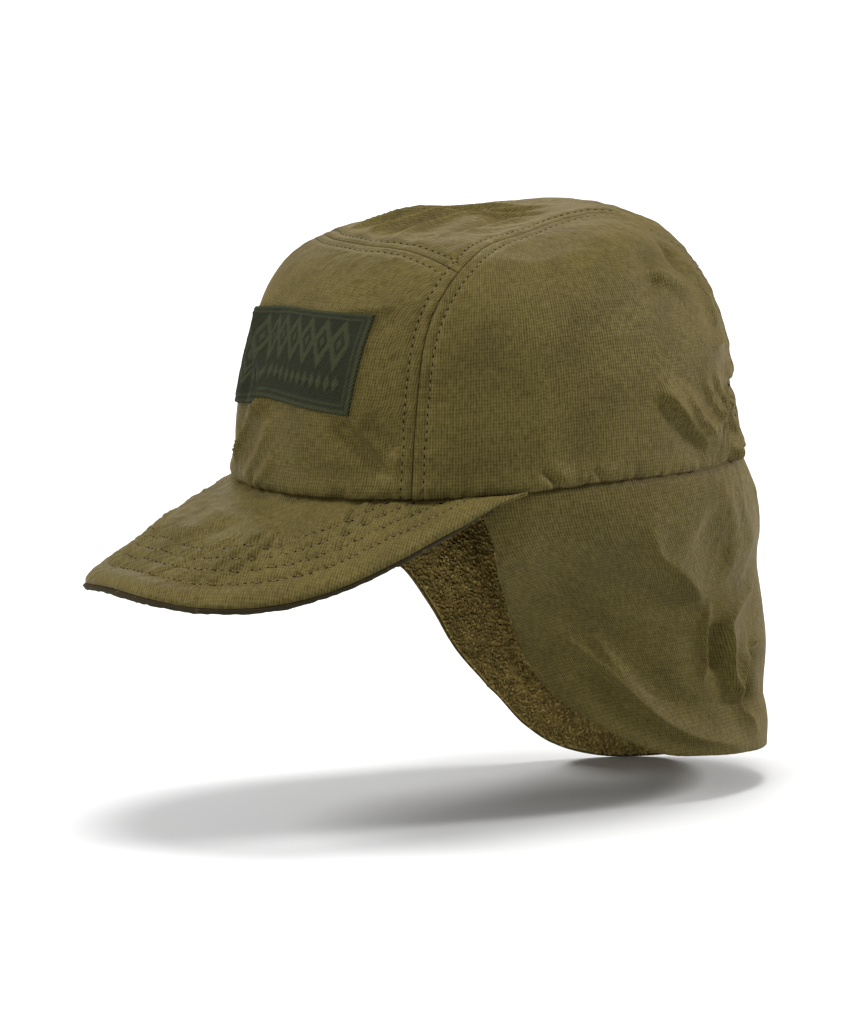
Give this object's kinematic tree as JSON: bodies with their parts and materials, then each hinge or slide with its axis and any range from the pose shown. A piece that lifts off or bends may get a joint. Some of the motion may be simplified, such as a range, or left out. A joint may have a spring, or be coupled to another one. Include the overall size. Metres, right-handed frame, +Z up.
{
  "type": "earflap cap",
  "caption": "Soft winter cap with a rounded crown, a short curved peak and one long fleece-lined flap over the ears and neck.",
  "frame": {"origin": "middle of the head opening, in the plane of the seam round the crown's lower edge", "axes": "+Z up through the crown, -Y to the front over the peak, +X to the wearer's left"},
  "size_m": [0.176, 0.2851, 0.2294],
  "materials": {
    "cloth": "satin",
    "fleece": "matte",
    "badge": "matte"
  },
  "bodies": {
    "root": {"front_panel": "cloth", "top_panel": "cloth", "back_panel": "cloth", "side_panel_left": "cloth", "side_panel_right": "cloth", "badge": "badge", "peak_cover": "cloth", "peak_fleece": "fleece", "flap_cloth": "cloth", "flap_fleece": "fleece"}
  },
  "joints": []
}
